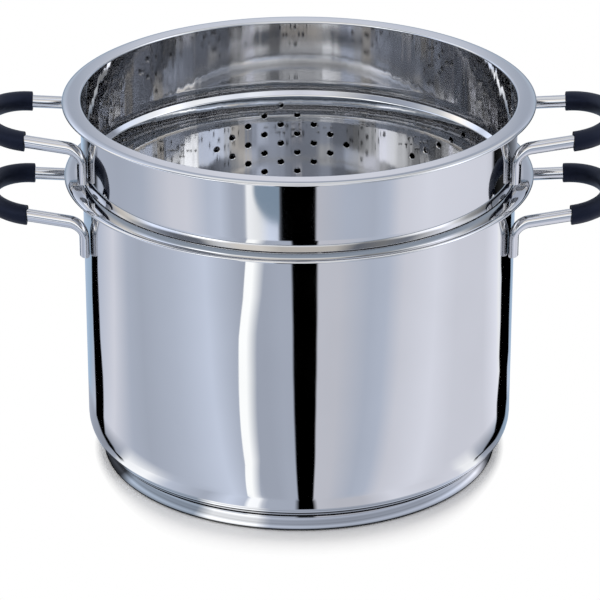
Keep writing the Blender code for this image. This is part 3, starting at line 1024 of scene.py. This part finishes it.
def table_colour(nodes, links):
    """The light that comes off the table: soft panels, a black wedge, a white strip and two bands."""
    place = nodes.new("ShaderNodeTexCoord").outputs["Object"]
    from_tip = vector_node(nodes, links, "SUBTRACT", place, (*WEDGE_TIP, 0.0))
    tip_turn = heading_share(nodes, links, from_tip)
    distance = vector_node(nodes, links, "LENGTH", from_tip)
    turn = heading_share(nodes, links, place)
    radius = vector_node(nodes, links, "LENGTH", place)

    near_part = studio_ramp(nodes, links, tip_turn, TABLE)
    near_part = mixed(nodes, links, white_strip(nodes, links, tip_turn, distance), near_part, STRIP_COLOUR)
    far_part = studio_ramp(nodes, links, tip_turn, FAR_TABLE)
    far_part = mixed(nodes, links, shaded_patch(nodes, links, tip_turn, distance), far_part, PATCH_COLOUR)
    aside = math_node(nodes, links, "ABSOLUTE", math_node(nodes, links, "SUBTRACT", tip_turn, 0.5))
    start, end = (heading / 360 for heading in ASIDE_HEADINGS)
    shift = ranged(nodes, links, aside, 0.0, FAR_SHIFT_ASIDE, start, end)
    shifted = math_node(nodes, links, "SUBTRACT", distance, shift)
    whole = mixed(nodes, links, ranged(nodes, links, shifted, 0.0, 1.0, *FAR_START), near_part, far_part)

    beside_pot = ranged(nodes, links, radius, 1.0, 0.0, *BESIDE_POT_REACH)
    whole = mixed(nodes, links, beside_pot, whole, studio_ramp(nodes, links, turn, BESIDE_POT))
    for band in (LEFT_BAND, RIGHT_BAND):
        share = side_band(nodes, links, tip_turn, distance, band)
        whole = mixed(nodes, links, share, whole, (0.0, 0.0, 0.0))

    # Painted reflection: light and dark rings, which the base's side mirrors as level lines
    along_rings = ranged(nodes, links, radius, 0.0, 1.0, RINGS_START, RINGS_END)
    ring_stops = []
    for reach, light in PAINTED_BASE_LINES:
        ring_stops.append(((reach - RINGS_START) / (RINGS_END - RINGS_START), (light,) * 3))
    rings = ramp(nodes, links, along_rings, ring_stops)
    base_light = vector_node(nodes, links, "MULTIPLY", studio_ramp(nodes, links, turn, BESIDE_BASE), rings)
    beside_base = ranged(nodes, links, radius, 1.0, 0.0, *BESIDE_BASE_REACH)
    return mixed(nodes, links, beside_base, whole, base_light)


def level_square(name, half_size, height):
    data = bpy.data.meshes.new(name)
    corners = [(-1, -1), (1, -1), (1, 1), (-1, 1)]
    data.from_pydata([(x * half_size, y * half_size, 0.0) for x, y in corners], [], [(0, 1, 2, 3)])
    made = bpy.data.objects.new(name, data)
    bpy.context.scene.collection.objects.link(made)
    made.location.z = height
    return made


def table_mirror():
    """The table as steel mirrors it. Only mirrored rays see it, and it lights nothing else."""
    made = level_square("table_mirror", MIRROR_HALF_SIZE, MIRROR_HEIGHT)
    made.visible_camera = False
    made.visible_diffuse = False
    made.visible_transmission = False
    made.visible_volume_scatter = False
    made.visible_shadow = False
    surface = bpy.data.materials.new("table_light")
    surface.use_nodes = True
    nodes, links = surface.node_tree.nodes, surface.node_tree.links
    nodes.clear()
    output = nodes.new("ShaderNodeOutputMaterial")
    light = nodes.new("ShaderNodeEmission")
    light.inputs["Strength"].default_value = TABLE_LIGHT
    links.new(table_colour(nodes, links), light.inputs["Color"])
    links.new(light.outputs["Emission"], output.inputs["Surface"])
    surface.cycles.emission_sampling = "NONE"
    made.data.materials.append(surface)


def set_world():
    """White for the camera, plain light for matt surfaces, and the studio's panels for mirrored rays."""
    world = bpy.data.worlds.new("studio")
    world.use_nodes = True
    bpy.context.scene.world = world
    nodes, links = world.node_tree.nodes, world.node_tree.links
    nodes.clear()
    output = nodes.new("ShaderNodeOutputWorld")
    direction = nodes.new("ShaderNodeTexCoord").outputs["Generated"]
    turn = heading_share(nodes, links, direction)
    split = nodes.new("ShaderNodeSeparateXYZ")
    links.new(direction, split.inputs["Vector"])
    height = split.outputs["Z"]
    studio = mixed(nodes, links, ranged(nodes, links, height, 0.0, 1.0, *HAZE_RISE), HORIZON, HAZE)
    for panels, start, end in STUDIO_ZONES:
        rise = ranged(nodes, links, height, 0.0, 1.0, start, end)
        studio = mixed(nodes, links, rise, studio, studio_ramp(nodes, links, turn, panels))
    path = nodes.new("ShaderNodeLightPath")
    plain = mixed(nodes, links, path.outputs["Is Camera Ray"], (PLAIN_LIGHT,) * 3, (1.0, 1.0, 1.0))
    background = nodes.new("ShaderNodeBackground")
    seen = mixed(nodes, links, path.outputs["Is Glossy Ray"], plain, studio)
    links.new(seen, background.inputs["Color"])
    links.new(background.outputs["Background"], output.inputs["Surface"])


def floor():
    """A plain floor: the camera sees the pot's soft shadow on it, and painted white glow further out."""
    made = level_square("floor", FLOOR_HALF_SIZE, FLOOR_HEIGHT)
    made.visible_glossy = False
    surface, nodes, links, shader = new_material("floor_white")
    shader.inputs["Roughness"].default_value = 0.9
    shader.inputs["Specular IOR Level"].default_value = 0.0
    is_camera = nodes.new("ShaderNodeLightPath").outputs["Is Camera Ray"]
    links.new(mixed(nodes, links, is_camera, FLOOR_BOUNCE, FLOOR_PAINT), shader.inputs["Base Color"])

    place = nodes.new("ShaderNodeTexCoord").outputs["Object"]
    split = nodes.new("ShaderNodeSeparateXYZ")
    links.new(place, split.inputs["Vector"])
    distance = vector_node(nodes, links, "LENGTH", place)
    beside = math_node(nodes, links, "DIVIDE", split.outputs["X"], distance)
    beside = math_node(nodes, links, "ABSOLUTE", beside)
    beside = math_node(nodes, links, "POWER", beside, SHADOW_SIDE_POWER)
    narrower = math_node(nodes, links, "MULTIPLY_ADD", beside, SHADOW_NARROWING, 1.0)
    gap = math_node(nodes, links, "SUBTRACT", distance, BASE_RADIUS)
    gap = math_node(nodes, links, "MULTIPLY", gap, narrower)
    away = ranged(nodes, links, gap, 0.0, 1.0, *SHADOW_FADE)
    # Painted light: a white glow for camera rays that covers the floor's shadow away from the base
    white = nodes.new("ShaderNodeEmission")
    blend = nodes.new("ShaderNodeMixShader")
    links.new(math_node(nodes, links, "MULTIPLY", away, is_camera), blend.inputs["Fac"])
    links.new(shader.outputs["BSDF"], blend.inputs[1])
    links.new(white.outputs["Emission"], blend.inputs[2])
    links.new(blend.outputs["Shader"], nodes["Material Output"].inputs["Surface"])
    surface.cycles.emission_sampling = "NONE"
    made.data.materials.append(surface)


def hang_lamp(name, lamp, place):
    """A lamp aimed at the pot. Steel mirrors the studio's panels in its place."""
    made = bpy.data.objects.new(name, lamp)
    bpy.context.scene.collection.objects.link(made)
    made.location = place
    made.rotation_euler = (Vector(LIGHT_TARGET) - Vector(place)).to_track_quat("-Z", "Y").to_euler()
    made.visible_glossy = False
    made.visible_camera = False


def top_light():
    """A soft light from straight above, which draws the pot's narrow shadow on the floor."""
    lamp = bpy.data.lights.new("top", "SUN")
    lamp.energy = TOP_LIGHT_ENERGY
    lamp.angle = math.radians(TOP_LIGHT_ANGLE)
    hang_lamp("top", lamp, TOP_LIGHT_PLACE)


def key_light():
    lamp = bpy.data.lights.new("key", "AREA")
    lamp.energy = KEY_LIGHT_POWER
    lamp.shape = "DISK"
    lamp.size = KEY_LIGHT_SIZE
    hang_lamp("key", lamp, KEY_LIGHT_PLACE)


def camera():
    lens = bpy.data.cameras.new("camera")
    lens.sensor_fit = "HORIZONTAL"
    lens.sensor_width = SENSOR_WIDTH
    lens.lens = FOCAL_LENGTH_PIXELS / PICTURE_WIDTH_PIXELS * SENSOR_WIDTH
    lens.clip_start = 0.1
    lens.clip_end = 30.0
    made = bpy.data.objects.new("camera", lens)
    bpy.context.scene.collection.objects.link(made)
    made.location = CAMERA_PLACE
    made.rotation_euler = (math.pi / 2 - CAMERA_LOOKS_DOWN, 0.0, CAMERA_HEADING)
    bpy.context.scene.camera = made


def dress(piece, node, body, surface):
    """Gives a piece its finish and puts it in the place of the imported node."""
    piece.data.materials.append(surface)
    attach(piece, body)
    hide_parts(node)


def add_handles(body, wall_radius, rim_height, rod_surface, grip_surface):
    for side, turn in (("right", 0.0), ("left", math.pi)):
        for part, made, surface, slot in (
            ("handle", rod(f"{body}_rod_{side}", wall_radius, rim_height), rod_surface, "rod_steel"),
            ("grip", sleeve(f"{body}_sleeve_{side}", rim_height), grip_surface, "grip_silicone"),
        ):
            made.rotation_euler.z = turn
            dress(made, f"{body}_{part}_{side}", body, surface)


pot_steel = steel("pot_steel", POT_STEEL, roughness=0.035, wave=0.0001, hollow=True)
insert_steel = steel(
    "insert_steel", POT_STEEL, roughness=0.045, wave=0.00003, streaks=0.00026, hollow=True
)
cap_steel = steel("cap_steel", CAP_STEEL, roughness=0.05, wave=0.00002, rings=0.00002, lean=0.14)
rod_steel = steel("rod_steel", ROD_STEEL, roughness=0.09, wave=0.00001)
core_metal = steel("core_metal", CORE_METAL, roughness=0.35, wave=0.00001)
rubber = silicone("silicone")

pot = turned("pot_shell", pot_profile(), POT_SHEET)
dress(pot, "pot_body", "pot", pot_steel)
cap = turned("cap_shell", base_cap_profile(), BASE_CAP_SHEET)
dress(cap, "base_cap", "pot", cap_steel)
basket = punched(turned("insert_shell", insert_profile(), INSERT_SHEET), hole_cutters())
dress(basket, "insert_body", "insert", insert_steel)
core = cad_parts["base_core"]
core.data.materials.clear()
core.data.materials.append(core_metal)
add_handles("pot", POT_OUTER_RADIUS, POT_TOP, rod_steel, rubber)
add_handles("insert", INSERT_OUTER_RADIUS, INSERT_TOP, rod_steel, rubber)

set_world()
floor()
table_mirror()
top_light()
key_light()
camera()
bpy.context.scene.view_settings.view_transform = "Standard"
bpy.context.scene.cycles.glossy_bounces = GLOSSY_BOUNCES
